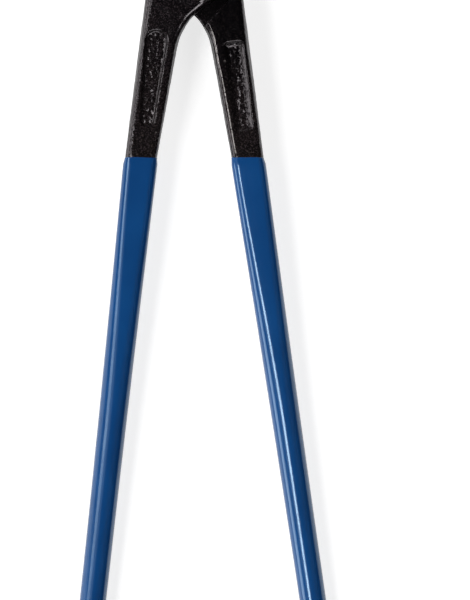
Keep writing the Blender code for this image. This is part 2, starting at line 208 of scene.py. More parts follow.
# Steps of the meshes
CORNER_STEPS = 8
GRIP_CORNER_STEPS = 14
SMOOTH_STEPS = 10
ARM_STEPS = 16
CROTCH_STEPS = 4
TANG_STEPS = 30
HANDLE_STEPS = 150
LIP_STEPS = 12
DOME_STEPS = 14
ROUND_STEPS = 144
ARC_STEPS = 12

# The photograph's frame: its middle about the pivot, and how much of the tool's length it shows
VIEW_CENTRE = (0.01454, -0.12143)
VIEW_LENGTH = 0.2143
LENS = 500.0
SENSOR = 36.0
FAR_CLIP = 50.0

# Floor: where it touches the jaws' backs and the grips' far ends, and how it is laid and shown
JAW_FOOT_Y, GRIP_FOOT_Y = 0.034, -0.254
FLOOR_REACH, FLOOR_GAP = 5.0, 0.0001
FLOOR_GREY, FLOOR_ROUGHNESS, FLOOR_GLOW = 0.50, 0.9, 0.76

# Room: between which heights and how far to the right the white horizon gives way to the dimness
WHITE = (1.0, 1.0, 1.0, 1.0)
ROOM_DIMNESS = (0.025, 0.025, 0.027, 1.0)
HORIZON_FADE, RIGHT_FADE = (0.12, 0.24), (0.45, 0.70)

# What some lamps light alone
LIT_PIECES = {
    "sleeves": ("front_grip_sleeve", "rear_grip_sleeve"),
    "left sleeve": ("front_grip_sleeve",),
    "right sleeve": ("rear_grip_sleeve",),
    "steel": ("front_lever_forging", "rear_lever_forging", "pivot_rivet_turned"),
}

# Softboxes: place, the second side's axis, both sides, radiance, their rays and what they light
AXES = {"X": (1, 0, 0), "Y": (0, 1, 0), "Z": (0, 0, 1)}
LAMPS = {
    "left_strip": ((-4.05, 1.06, 4.66), "Y", (2.40, 2.10), 4.6, "glossy", "left sleeve"),
    "steel_left": ((-4.18, 1.08, 4.50), "Y", (2.40, 2.10), 4.4, "glossy", "steel"),
    "right_strip": ((-1.92, -0.66, 5.68), "Y", (1.55, 0.66), 14.5, "glossy", "right sleeve"),
    "sleeve_glow": ((-2.43, -0.16, 5.49), "Y", (3.00, 1.60), 0.6, "glossy", "sleeves"),
    "steel_strip": ((-2.07, -0.70, 5.61), "Y", (1.50, 0.66), 9.4, "glossy", "steel"),
    "steel_box": ((-0.96, -0.15, 0.20), "Z", (0.60, 0.46), 3.0, "glossy", "steel"),
    "low_box": ((0.05, -1.35, 1.40), "X", (0.45, 1.20), 8.8, "glossy", "steel"),
    "crotch_box": ((1.00, -1.08, 1.25), "X", (0.50, 0.50), 7.4, "glossy", "steel"),
    "left_box": ((-0.86, -0.46, 0.19), "Z", (0.62, 0.52), 1.7, "glossy and diffuse", "left sleeve"),
    "right_box": (
        (-0.86, -0.46, 0.19), "Z", (0.62, 0.52), 3.7, "glossy and diffuse", "right sleeve"
    ),
    "left_fill": ((-1.15, 0.00, 1.35), "Y", (1.00, 1.60), 7.2, "diffuse", "everything"),
    "right_fill": ((1.10, 0.00, 1.35), "Y", (1.00, 1.60), 1.6, "diffuse", "everything"),
}

# Colours of the steel: lacquer at the head and near the grips, lighter there partly as painted
# light, a painted shade, what shows through with a painted highlight of bare steel, and gloss
LACQUER = ((0.0007, 0.0005, 0.0008, 1.0), (0.0024, 0.0017, 0.0019, 1.0))
# Lighter, browner lacquer near the grips: partly handled wear, partly painted light
HANDLED_AND_LIT_LACQUER = ((0.0022, 0.0017, 0.0017, 1.0), (0.0062, 0.0046, 0.0042, 1.0))
# Painted shade: a darker lacquer on the head's right side, where the light falls off
PAINTED_SHADE_LACQUER = (0.0002, 0.0001, 0.0004, 1.0)
GRAIN_COLOUR = (0.030, 0.022, 0.025, 1.0)
SPECK_COLOUR = (0.035, 0.027, 0.025, 1.0)
WORN_COLOUR = (0.085, 0.078, 0.074, 1.0)
# Painted highlight: bright bare steel along the rubbed crests, partly wear, partly a stand-in for
# their highlight
BARE_HIGHLIGHT_COLOUR = (0.36, 0.335, 0.32, 1.0)
FORGED_GLOSS, FORGED_TINT = 0.5, (1.0, 0.93, 0.97, 1.0)

# Where the lacquer changes, in metres along and across the tool: along it to the lighter lacquer
# near the grips, partly painted light, and across it to the painted shade on the head's right side
HANDLED_AND_LIT_RUN = (-0.060, -0.015)
PAINTED_SHADE_RUN = (0.002, 0.010)

# Colours of the ground edges, the rivet and the grips
GROUND_COLOURS = ((0.36, 0.355, 0.35, 1.0), (0.56, 0.55, 0.54, 1.0))
RIVET_COLOURS, RIVET_METALNESS = ((0.050, 0.047, 0.045, 1.0), (0.110, 0.103, 0.097, 1.0)), 0.7
BLUE_COLOURS = ((0.0036, 0.0470, 0.1720, 1.0), (0.0044, 0.0560, 0.1980, 1.0))
BLUE_GLOSS, BLUE_TINT = 0.9, (0.60, 0.84, 1.0, 1.0)

# Noises: how many cells to a metre, how much finer detail, and how strong that detail is
PATCHES = (150.0, 3.0, 0.6)
GRAIN = (2000.0, 2.0, 0.6)
SPECKS = (1300.0, 4.0, 0.7)
WEAR = (420.0, 4.0, 0.7)
BARE_HIGHLIGHT_BREAKUP = (800.0, 3.0, 0.7)
SHEEN = (260.0, 4.0, 0.6)
COARSE_BUMPS = (480.0, 3.0, 0.6)
FINE_BUMPS = (1000.0, 1.5, 0.5)
RIVET_PATCHES = (700.0, 4.0, 0.6)
BLUE_TONE = (45.0, 2.0, 0.5)
BLUE_WAVES = (190.0, 2.0, 0.5)
BLUE_FINE_BUMPS = (1700.0, 2.0, 0.5)

# Noises in a place that is stretched beforehand, by so much along each axis
LINES, LINE_STRETCH = (1.0, 3.0, 0.6), (6000.0, 6000.0, 250.0)
RINGS, RING_STRETCH = (1.0, 3.0, 0.6), 5200.0
SCUFFS, SCUFF_STRETCH = (1.0, 4.0, 0.65), (1400.0, 160.0, 1400.0)

# How high the bumps stand
FORGED_BUMP, GROUND_BUMP, RIVET_BUMP = 0.00020, 0.00002, 0.00003
BLUE_WAVE_BUMP, BLUE_FINE_BUMP = 0.00012, 0.00002


def material(name):
    made = bpy.data.materials.new(name)
    made.use_nodes = True
    return made


class Tree:
    """Short names for building a node tree."""

    MIX_SHARE, MIX_FIRST, MIX_SECOND, MIX_RESULT = 0, 6, 7, 2

    def __init__(self, owner):
        self.tree = owner.node_tree
        self.shader = self.tree.nodes.get("Principled BSDF")

    def add(self, kind, inputs=None, **settings):
        made = self.tree.nodes.new(kind)
        for key, value in settings.items():
            setattr(made, key, value)
        for key, value in (inputs or {}).items():
            self.feed(made, key, value)
        return made

    def feed(self, made, key, value):
        socket = made.inputs[key]
        if isinstance(value, bpy.types.NodeSocket):
            self.tree.links.new(value, socket)
        else:
            socket.default_value = value

    def place(self):
        return self.add("ShaderNodeTexCoord").outputs["Object"]

    def normal(self):
        return self.add("ShaderNodeTexCoord").outputs["Normal"]

    def axis(self, vector, name):
        return self.add("ShaderNodeSeparateXYZ", {"Vector": vector}).outputs[name]

    def stretched(self, place, scale):
        return self.add("ShaderNodeMapping", {"Vector": place, "Scale": scale}).outputs["Vector"]

    def noise(self, kind, place):
        scale, detail, roughness = kind
        return self.add(
            "ShaderNodeTexNoise",
            {"Vector": place, "Scale": scale, "Detail": detail, "Roughness": roughness},
        ).outputs["Fac"]

    def span(self, value, between, to=(0.0, 1.0), smooth=False):
        """Carries a value from between two numbers to two others, and no further."""
        return self.add(
            "ShaderNodeMapRange",
            {
                "Value": value,
                "From Min": between[0],
                "From Max": between[1],
                "To Min": to[0],
                "To Max": to[1],
            },
            interpolation_type="SMOOTHSTEP" if smooth else "LINEAR",
        ).outputs["Result"]

    def math(self, operation, first, second=0.0):
        made = self.add("ShaderNodeMath", operation=operation)
        self.feed(made, 0, first)
        self.feed(made, 1, second)
        return made.outputs[0]

    def mix(self, share, first, second):
        made = self.add("ShaderNodeMix", data_type="RGBA")
        self.feed(made, self.MIX_SHARE, share)
        self.feed(made, self.MIX_FIRST, first)
        self.feed(made, self.MIX_SECOND, second)
        return made.outputs[self.MIX_RESULT]

    def bump(self, height, distance, strength, normal=None):
        inputs = {"Height": height, "Distance": distance, "Strength": strength}
        if normal:
            inputs["Normal"] = normal
        return self.add("ShaderNodeBump", inputs).outputs["Normal"]


def forged_steel():
    """Black lacquer over rough forged steel: fine grain, specks, worn edges, and a browner, more
    handled look towards the grips that is also lighter there as painted light; a painted shade
    darkens the head's right side, and a painted highlight of bare steel runs along the rubbed
    crests."""
    made = material("forged_steel_looks")
    tree = Tree(made)
    place = tree.place()
    # Towards the grips the lacquer turns lighter and browner: partly handled wear, partly painted
    # light
    handled_and_lit = tree.span(tree.axis(place, "Y"), HANDLED_AND_LIT_RUN, to=(1.0, 0.0), smooth=True)
    patches = tree.span(tree.noise(PATCHES, place), between=(0.35, 0.7))
    lacquer = tree.mix(handled_and_lit, tree.mix(patches, *LACQUER), tree.mix(patches, *HANDLED_AND_LIT_LACQUER))
    # Painted shade: the lacquer darkens on the head's right side, and its grain fades there
    painted_shade = tree.math(
        "MULTIPLY",
        tree.span(tree.axis(place, "X"), PAINTED_SHADE_RUN, smooth=True),
        tree.span(handled_and_lit, between=(0.3, 1.0), to=(1.0, 0.0)),
    )
    black = tree.mix(painted_shade, lacquer, PAINTED_SHADE_LACQUER)
    grain = tree.math(
        "MULTIPLY",
        tree.span(tree.noise(GRAIN, place), between=(0.50, 0.66), smooth=True),
        tree.span(painted_shade, between=(0.0, 1.0), to=(0.75, 0.12)),
    )
    grained = tree.mix(grain, black, GRAIN_COLOUR)
    specks = tree.math(
        "MULTIPLY",
        tree.span(tree.noise(SPECKS, place), between=(0.56, 0.68), smooth=True),
        tree.span(handled_and_lit, between=(0.0, 1.0), to=(0.25, 1.0)),
    )
    speckled = tree.mix(specks, grained, SPECK_COLOUR)
    facing = tree.math("ABSOLUTE", tree.axis(tree.normal(), "Z"))
    edge = tree.add("ShaderNodeNewGeometry").outputs["Pointiness"]
    worn = tree.math(
        "MULTIPLY",
        tree.span(edge, between=(0.535, 0.60), smooth=True),
        tree.span(tree.noise(WEAR, place), between=(0.42, 0.62)),
    )
    worn = tree.math("MULTIPLY", worn, tree.span(facing, between=(0.35, 0.80), smooth=True))
    rubbed_edge = tree.mix(worn, speckled, WORN_COLOUR)
    # Painted highlight: bright bare steel along the marked crests, partly rubbed wear, partly the
    # highlight of the edge
    crest_highlight_share = tree.add("ShaderNodeAttribute", attribute_name=RUBBED_HIGHLIGHT).outputs["Fac"]
    bare_highlight = tree.math(
        "MULTIPLY",
        tree.span(crest_highlight_share, between=(0.45, 1.0), smooth=True),
        tree.span(tree.noise(BARE_HIGHLIGHT_BREAKUP, place), between=(0.36, 0.50)),
    )
    tree.feed(tree.shader, "Base Color", tree.mix(bare_highlight, rubbed_edge, BARE_HIGHLIGHT_COLOUR))
    rough = tree.span(tree.noise(SHEEN, place), between=(0.3, 0.7), to=(0.13, 0.21))
    side = tree.span(facing, between=(0.10, 0.50), to=(0.30, 0.0), smooth=True)
    tree.feed(tree.shader, "Roughness", tree.math("ADD", rough, side))
    tree.shader.inputs["Specular IOR Level"].default_value = FORGED_GLOSS
    tree.shader.inputs["Specular Tint"].default_value = FORGED_TINT
    coarseness = tree.span(handled_and_lit, between=(0.0, 1.0), to=(0.22, 0.45))
    coarse = tree.bump(tree.noise(COARSE_BUMPS, place), FORGED_BUMP, strength=coarseness)
    fineness = tree.span(facing, between=(0.60, 0.97), to=(0.8, 0.25), smooth=True)
    fine = tree.bump(tree.noise(FINE_BUMPS, place), FORGED_BUMP, fineness, normal=coarse)
    tree.feed(tree.shader, "Normal", fine)
    return made


def ground_steel():
    """Bright steel with fine grinding lines along the cutting edge."""
    made = material("ground_steel_looks")
    tree = Tree(made)
    lines = tree.noise(LINES, tree.stretched(tree.place(), LINE_STRETCH))
    colour = tree.mix(tree.span(lines, between=(0.3, 0.7)), *GROUND_COLOURS)
    tree.feed(tree.shader, "Base Color", colour)
    tree.shader.inputs["Metallic"].default_value = 1.0
    roughness = tree.span(lines, between=(0.3, 0.7), to=(0.28, 0.42))
    tree.feed(tree.shader, "Roughness", roughness)
    tree.feed(tree.shader, "Normal", tree.bump(lines, GROUND_BUMP, strength=0.6))
    return made


def rivet_steel():
    """Dark turned steel: rings about the pivot's axis and duller patches."""
    made = material("rivet_steel_looks")
    tree = Tree(made)
    place = tree.place()
    flat = tree.add(
        "ShaderNodeCombineXYZ", {"X": tree.axis(place, "X"), "Y": tree.axis(place, "Y")}
    ).outputs["Vector"]
    radius = tree.add("ShaderNodeVectorMath", {0: flat}, operation="LENGTH").outputs["Value"]
    outwards = tree.add(
        "ShaderNodeCombineXYZ", {"X": tree.math("MULTIPLY", radius, RING_STRETCH)}
    ).outputs["Vector"]
    rings = tree.noise(RINGS, outwards)
    patches = tree.noise(RIVET_PATCHES, place)
    colour = tree.mix(tree.span(patches, between=(0.35, 0.7)), *RIVET_COLOURS)
    tree.feed(tree.shader, "Base Color", colour)
    tree.shader.inputs["Metallic"].default_value = RIVET_METALNESS
    roughness = tree.span(patches, between=(0.3, 0.7), to=(0.30, 0.46))
    tree.feed(tree.shader, "Roughness", roughness)
    tree.feed(tree.shader, "Normal", tree.bump(rings, RIVET_BUMP, strength=0.7))
    return made


def blue_plastic():
    """Glossy dipped plastic: slow changes of tone, a slight waviness and fine scuffs."""
    made = material("blue_grip_looks")
    tree = Tree(made)
    place = tree.place()
    tone = tree.span(tree.noise(BLUE_TONE, place), between=(0.35, 0.65))
    tree.feed(tree.shader, "Base Color", tree.mix(tone, *BLUE_COLOURS))
    scuffs = tree.noise(SCUFFS, tree.stretched(place, SCUFF_STRETCH))
    roughness = tree.span(scuffs, between=(0.45, 0.75), to=(0.15, 0.21))
    tree.feed(tree.shader, "Roughness", roughness)
    tree.shader.inputs["Specular IOR Level"].default_value = BLUE_GLOSS
    tree.shader.inputs["Specular Tint"].default_value = BLUE_TINT
    waves = tree.bump(tree.noise(BLUE_WAVES, place), BLUE_WAVE_BUMP, strength=0.15)
    scratches = tree.noise(BLUE_FINE_BUMPS, place)
    fine = tree.bump(scratches, BLUE_FINE_BUMP, strength=0.25, normal=waves)
    tree.feed(tree.shader, "Normal", fine)
    return made


def eased(share):
    return share * share * (3 - 2 * share)


def section(half_width, half_thickness, corner, draft, steps):
    """A rounded rectangle (across, along Z) whose two sides lean in from a ridge at mid height."""
    corner = min(corner, half_width, half_thickness)
    points = [(half_width, 0.0)]
    for quarter, (side, face) in enumerate(((1, 1), (-1, 1), (-1, -1), (1, -1))):
        if quarter == 2:
            points.append((-half_width, 0.0))
        for step in range(steps + 1):
            angle = math.pi / 2 * (quarter + step / steps)
            across = side * (half_width - corner) + corner * math.cos(angle)
            up = face * (half_thickness - corner) + corner * math.sin(angle)
            points.append((across - side * draft * abs(up), up))
    return points


def ring(station, steps):
    """A section laid between a station's under point and over point."""
    under_x, under_y, over_x, over_y, half_thickness, corner, draft = station
    under = Vector((under_x, under_y, 0.0))
    over = Vector((over_x, over_y, 0.0))
    centre = (under + over) / 2
    across = (under - over).normalized()
    half_width = (under - over).length / 2
    shape = section(half_width, half_thickness, corner, draft, steps)
    return [centre + across * s + Vector((0.0, 0.0, z)) for s, z in shape]


def mesh_of(name, shape):
    """A mesh of a built shape, with its faces turned outwards."""
    bmesh.ops.recalc_face_normals(shape, faces=shape.faces)
    mesh = bpy.data.meshes.new(name)
    shape.to_mesh(mesh)
    shape.free()
    return mesh


def loft(name, rings):
    """One closed skin through rings of equally many points, capped at both ends."""
    shape = bmesh.new()
    rows = [[shape.verts.new(point) for point in each] for each in rings]
    for first, second in zip(rows, rows[1:]):
        for i in range(len(first)):
            j = (i + 1) % len(first)
            shape.faces.new((first[i], first[j], second[j], second[i]))
    shape.faces.new(list(reversed(rows[0])))
    shape.faces.new(rows[-1])
    bmesh.ops.remove_doubles(shape, verts=shape.verts, dist=MERGE_DISTANCE)
    return mesh_of(name, shape)


def smooth_stations(stations, steps):
    """Catmull-Rom stations through the given ones, with the ends kept."""
    padded = [stations[0], *stations, stations[-1]]
    found = []
    for a, b, c, d in zip(padded, padded[1:], padded[2:], padded[3:]):
        for step in range(steps):
            t = step / steps
            found.append(
                [
                    0.5 * (2 * q + t * (r - p) + t * t * (2 * p - 5 * q + 4 * r - s)
                           + t * t * t * (3 * q - p - 3 * r + s))
                    for p, q, r, s in zip(a, b, c, d)
                ]
            )
    return [*found, stations[-1]]


def polar(radius, angle):
    return radius * math.cos(angle), radius * math.sin(angle)


def arm_half_thickness(y):
    share = np.maximum((-y - CHEEK_DEPTH) / (MOUTH_DEPTH - CHEEK_DEPTH), 0.0)
    return CHEEK_HALF_THICKNESS + (MOUTH_HALF_THICKNESS - CHEEK_HALF_THICKNESS) * share


def outer_edge(y):
    return -(MOUTH_CENTRE + MOUTH_HALF_WIDTH) + (y + MOUTH_DEPTH) * math.tan(OUTER_ANGLE)


def inner_edge(y):
    return -(MOUTH_CENTRE - MOUTH_HALF_WIDTH) + (y + MOUTH_DEPTH) * math.tan(INNER_ANGLE)


def crotch_point(turn):
    """The inner edge above its straight part: an arc that bends in under the joint."""
    start_y = -CROTCH_START_DEPTH
    centre_x = inner_edge(start_y) + CROTCH_RADIUS * math.cos(INNER_ANGLE)
    centre_y = start_y - CROTCH_RADIUS * math.sin(INNER_ANGLE)
    angle = math.pi - INNER_ANGLE - turn
    return centre_x + CROTCH_RADIUS * math.cos(angle), centre_y + CROTCH_RADIUS * math.sin(angle)


def jaw_stations():
    """The jaw with some steel left on for grinding at its top."""
    extra = JAW_HALF_THICKNESS - CHEEK_HALF_THICKNESS
    stations = [
        (
            GRIND_ALLOWANCE,
            JAW_HEIGHT + GRIND_ALLOWANCE,
            -GRIND_ALLOWANCE,
            JAW_HEIGHT + GRIND_ALLOWANCE,
            JAW_HALF_THICKNESS,
            EDGE_ROUND,
            0.0,
        )
    ]
    for index, (back_x, back_y, throat_x, throat_y, share) in enumerate(JAW_SHARES):
        spare = GRIND_ALLOWANCE if index < GRIND_STATIONS else 0.0
        stations.append(
            (
                back_x * JAW_HALF_WIDTH,
                back_y * JAW_HEIGHT + spare,
                throat_x * JAW_HALF_WIDTH,
                throat_y * JAW_HEIGHT,
                CHEEK_HALF_THICKNESS + share * extra,
                EDGE_ROUND if index < GRIND_STATIONS else JAW_ROUND,
                0.0,
            )
        )
    return stations


def cheek_stations():
    radius = EYE_RADIUS - EYE_MARGIN
    return [
        (*polar(radius, under), *polar(radius, over), CHEEK_HALF_THICKNESS, CHEEK_ROUND, 0.0)
        for under, over in CHEEK_ANGLES
    ]


def crotch_stations():
    stations = []
    for step in range(CROTCH_STEPS + 1):
        share = step / CROTCH_STEPS
        y = -CHEEK_DEPTH + share * (CHEEK_DEPTH - CROTCH_START_DEPTH)
        edge_round = CHEEK_ROUND + share * (ARM_ROUND - CHEEK_ROUND)
        stations.append(
            (
                *crotch_point(CROTCH_TURN * (1 - share)),
                outer_edge(y),
                y,
                arm_half_thickness(y),
                edge_round,
                DRAFT * share,
            )
        )
    return stations


def arm_stations():
    stations = []
    for step in range(1, ARM_STEPS + 1):
        share = step / ARM_STEPS
        y = -CROTCH_START_DEPTH + share * (CROTCH_START_DEPTH - MOUTH_DEPTH)
        edge_round = ARM_ROUND + share * share * (MOUTH_ROUND - ARM_ROUND)
        draft = DRAFT * (1 - share)
        stations.append(
            (inner_edge(y), y, outer_edge(y), y, arm_half_thickness(y), edge_round, draft)
        )
    return stations


def grip_size(distance):
    left = max(1 - distance / GRIP_LENGTH, 0.0) ** GRIP_TAPER_POWER
    half_width = GRIP_END_HALF_WIDTH + (GRIP_HALF_WIDTH - GRIP_END_HALF_WIDTH) * left
    half_thickness = GRIP_END_HALF_THICKNESS
    half_thickness += (GRIP_HALF_THICKNESS - GRIP_END_HALF_THICKNESS) * left
    return half_width, half_thickness


def round_share(distance):
    """The grip is flat in front at its mouth and nearly round further down."""
    share = eased(min(max(distance / GRIP_ROUND_RUN, 0.0), 1.0))
    return GRIP_MOUTH_ROUND_SHARE + (GRIP_END_ROUND_SHARE - GRIP_MOUTH_ROUND_SHARE) * share


def handle_station(distance, angle, half_width, half_thickness, corner):
    """A station of the handle: level at the mouth, soon square to the handle's own line."""
    centre_x = -MOUTH_CENTRE - distance * math.sin(angle)
    centre_y = -MOUTH_DEPTH - distance * math.cos(angle)
    tilt = angle * min(max(distance / LEVEL_RUN, 0.0), 1.0)
    run = half_width * math.cos(tilt)
    rise = half_width * math.sin(tilt)
    return (
        centre_x + run,
        centre_y - rise,
        centre_x - run,
        centre_y + rise,
        half_thickness,
        corner,
        0.0,
    )


def handle_stations(start, end, inset, angle, steps):
    """The handle's skin at a depth under the grip's own, from start to a domed end."""
    dome = END_ROUND - inset
    stations = []
    for step in range(steps + 1):
        distance = start + (end - dome - start) * step / steps
        half_width, half_thickness = (size - inset for size in grip_size(distance))
        corner = min(half_width, half_thickness) * round_share(distance)
        stations.append(handle_station(distance, angle, half_width, half_thickness, corner))
    for step in range(1, DOME_STEPS + 1):
        turn = math.pi / 2 * step / (DOME_STEPS + 1)
        distance = end - dome + dome * math.sin(turn)
        half_width, half_thickness = (
            (size - inset) * math.cos(turn) for size in grip_size(distance)
        )
        corner = min(half_width, half_thickness) * round_share(distance)
        stations.append(handle_station(distance, angle, half_width, half_thickness, corner))
    return stations


def lip_stations(angle):
    """The lip of the dipped skin: a small rounded rim on the steel that swells to the full size."""
    stations = []
    for step in range(LIP_STEPS + 1):
        turn = math.pi / 2 * step / LIP_STEPS
        distance = LIP_ROUND * (1 - math.cos(turn))
        rim = LIP_ROUND * math.sin(turn)
        stations.append(
            handle_station(
                distance,
                angle,
                MOUTH_HALF_WIDTH + rim - LIP_ROUND / 2,
                MOUTH_HALF_THICKNESS + rim - LIP_ROUND / 2,
                MOUTH_ROUND,
            )
        )
    base_width = MOUTH_HALF_WIDTH + LIP_ROUND / 2
    base_thickness = MOUTH_HALF_THICKNESS + LIP_ROUND / 2
    for step in range(1, LIP_STEPS):
        share = step / LIP_STEPS
        distance = LIP_ROUND + (LIP_RUN - LIP_ROUND) * share
        swell = eased(share)
        half_width, half_thickness = grip_size(distance)
        half_width = base_width + (half_width - base_width) * swell
        half_thickness = base_thickness + (half_thickness - base_thickness) * swell
        full_corner = half_thickness * round_share(distance)
        corner = MOUTH_ROUND + (full_corner - MOUTH_ROUND) * swell
        stations.append(handle_station(distance, angle, half_width, half_thickness, corner))
    return stations


def arm_with_stub():
    """The forging from the jaw's top to a stub that runs on a little inside the grip."""
    forged = [*jaw_stations(), *cheek_stations(), *crotch_stations()]
    arm = arm_stations()
    inner_x, _, outer_x, _, half_thickness, edge_round, draft = arm[-1]
    lean = STUB_LENGTH * math.tan(FRONT_HANDLE_ANGLE)
    stub = (
        inner_x - lean - GRIP_WALL / 4,
        -MOUTH_DEPTH - STUB_LENGTH,
        outer_x - lean + GRIP_WALL / 4,
        -MOUTH_DEPTH - STUB_LENGTH,
        half_thickness - GRIP_WALL / 2,
        edge_round,
        draft,
    )
    return [*smooth_stations(forged, SMOOTH_STEPS), *arm, stub]


def add_object(name, mesh):
    made = bpy.data.objects.new(name, mesh)
    bpy.context.scene.collection.objects.link(made)
    return made


def turned(name, profile):
    """A profile of (radius, height) points, top to bottom, turned about Z."""
    shape = bmesh.new()
    rows = []
    for radius, height in profile:
        rows.append(
            [
                shape.verts.new((*polar(radius, 2 * math.pi * step / ROUND_STEPS), height))
                for step in range(ROUND_STEPS)
            ]
        )
    for first, second in zip(rows, rows[1:]):
        for i in range(ROUND_STEPS):
            j = (i + 1) % ROUND_STEPS
            shape.faces.new((first[i], second[i], second[j], first[j]))
    bmesh.ops.remove_doubles(shape, verts=shape.verts, dist=MERGE_DISTANCE)
    loose = [edge for edge in shape.edges if edge.is_boundary]
    if loose:
        bmesh.ops.holes_fill(shape, edges=loose)
    return mesh_of(name, shape)


def eye_profile():
    points = [(0.0, EYE_HALF_THICKNESS)]
    inside = EYE_RADIUS - EYE_ROUND
    for step in range(ARC_STEPS + 1):
        turn = math.pi / 2 * (1 - step / ARC_STEPS)
        points.append(
            (
                inside + EYE_ROUND * math.cos(turn),
                EYE_HALF_THICKNESS - EYE_ROUND + EYE_ROUND * math.sin(turn),
            )
        )
    return [*points, *((radius, -height) for radius, height in reversed(points))]


def hole_profile():
    """The countersunk hole, a hair wider than the rivet."""
    top = EYE_HALF_THICKNESS + CUT_OVERRUN
    neck = EYE_HALF_THICKNESS - RIVET_HEAD_DEPTH
    head = RIVET_HEAD_RADIUS + HOLE_GAP
    upper = [(0.0, top), (head, top), (head, EYE_HALF_THICKNESS), (SHANK_RADIUS + HOLE_GAP, neck)]
    return [*upper, *((radius, -height) for radius, height in reversed(upper))]


def rivet_mesh():
    """The rivet with slightly chamfered, flush heads."""
    neck = EYE_HALF_THICKNESS - RIVET_HEAD_DEPTH
    upper = [(0.0, EYE_HALF_THICKNESS)]
    for share in RIVET_FACE_SHARES:
        upper.append((RIVET_HEAD_RADIUS * share, EYE_HALF_THICKNESS))
    upper += [
        (RIVET_HEAD_RADIUS - RIVET_CHAMFER, EYE_HALF_THICKNESS),
        (RIVET_HEAD_RADIUS, EYE_HALF_THICKNESS - RIVET_CHAMFER),
        (SHANK_RADIUS, neck),
    ]
    return turned("pivot_rivet_turned", [*upper, *((r, -z) for r, z in reversed(upper))])


def lap_cutter():
    arm_line = Vector(polar(1, ARM_SHOULDER_ANGLE))
    jaw_line = Vector(polar(1, JAW_SHOULDER_ANGLE))
    arm_across = Vector((-arm_line.y, arm_line.x)) * SHOULDER_REACH
    jaw_across = Vector((-jaw_line.y, jaw_line.x)) * SHOULDER_REACH
    arm_foot = arm_line * ARM_SHOULDER_DISTANCE
    jaw_foot = jaw_line * JAW_SHOULDER_DISTANCE
    outline = (
        arm_foot + arm_across,
        jaw_foot - jaw_across,
        jaw_foot + jaw_across,
        arm_foot - arm_across,
    )
    bottom = -(JAW_HALF_THICKNESS + CUT_OVERRUN)
    rings = [[(point.x, point.y, z) for point in outline] for z in (bottom, FIT_GAP / 2)]
    return loft("lap_cutter", rings)


def recess_outline(top, bottom, top_half, bottom_half, top_corner, bottom_corner, inset):
    """A tapered slot with rounded corners, drawn in by an inset."""
    along = (bottom - top).normalized()
    across = Vector((-along.y, along.x))
    points = []
    corners = (
        (top, 1, top_half, top_corner, 1),
        (top, -1, top_half, top_corner, 1),
        (bottom, -1, bottom_half, bottom_corner, -1),
        (bottom, 1, bottom_half, bottom_corner, -1),
    )
    for quarter, (end, side, half, corner, inward) in enumerate(corners):
        centre = end + across * side * (half - corner) + along * inward * corner
        for step in range(ARC_STEPS + 1):
            turn = math.pi / 2 * (quarter + step / ARC_STEPS)
            out = across * math.cos(turn) - along * math.sin(turn)
            points.append(centre + out * (corner - inset))
    return points


def recess_cutter(face, shape, wall_run):
    """A sunk panel that follows the arm's face, with leaning walls. Face is 1 in front and -1
    behind."""
    slope = wall_run / RECESS_DEPTH
    rings = []
    for inset, lift in ((wall_run, -RECESS_DEPTH), (-slope * RECESS_CUT_RISE, RECESS_CUT_RISE)):
        outline = recess_outline(*shape, inset)
        rings.append(
            [(point.x, point.y, face * (arm_half_thickness(point.y) + lift)) for point in outline]
        )
    return loft("recess_cutter", rings)


def stone_cutter():
    """What the grinding stone takes off at the jaw's top: the outer bevel, the edge and the face
    that meets the other jaw."""
    edge = Vector((FIT_GAP / 2, JAW_HEIGHT))
    bevel_end = Vector((JAW_SHARES[1][0] * JAW_HALF_WIDTH, JAW_SHARES[1][1] * JAW_HEIGHT))
    relief_end = Vector((JAW_SHARES[0][2] * JAW_HALF_WIDTH, JAW_SHARES[0][3] * JAW_HEIGHT))
    bevel_run = (bevel_end - edge).normalized()
    relief_run = (relief_end - edge).normalized()
    high = JAW_HEIGHT + GRIND_REACH
    outline = (
        edge,
        relief_end + relief_run * GRIND_ALLOWANCE,
        Vector((-GRIND_REACH, relief_end.y - GRIND_REACH / 2)),
        Vector((-GRIND_REACH, high)),
        Vector((bevel_end.x + GRIND_REACH, high)),
        bevel_end + bevel_run * GRIND_REACH,
    )
    depth = JAW_HALF_THICKNESS + CUT_OVERRUN
    rings = [[(point.x, point.y, z) for point in outline] for z in (-depth, depth)]
    return loft("stone_cutter", rings)


def modified(name, mesh, *steps):
    """A new mesh: the given one after a row of modifiers, each a kind and its settings."""
    made = add_object(name, mesh)
    for kind, settings in steps:
        step = made.modifiers.new(kind, kind)
        for key, value in settings.items():
            setattr(step, key, value)
    graph = bpy.context.evaluated_depsgraph_get()
    result = bpy.data.meshes.new_from_object(
        made.evaluated_get(graph), preserve_all_data_layers=True, depsgraph=graph
    )
    bpy.data.objects.remove(made)
    return result


def cut(operation, other, **settings):
    return ("BOOLEAN", {"operation": operation, "object": other, "solver": "EXACT", **settings})


def vertex_array(mesh, kind="co"):
    values = np.empty(len(mesh.vertices) * 3, np.float32)
    mesh.vertices.foreach_get(kind, values)
    return values.reshape(-1, 3).astype(float)


def set_points(mesh, points):
    mesh.vertices.foreach_set("co", points.astype(np.float32).ravel())
    mesh.update()


def rough_values(points, size, seed):
    """Smooth random values from -1 to 1 that change over a distance."""
    shift = Vector([seed * step for step in SEED_SHIFT])
    return np.array([noise.noise(Vector(point) / size + shift) for point in points])


def smooth_step(values, low, high):
    return eased(np.clip((values - low) / (high - low), 0, 1))


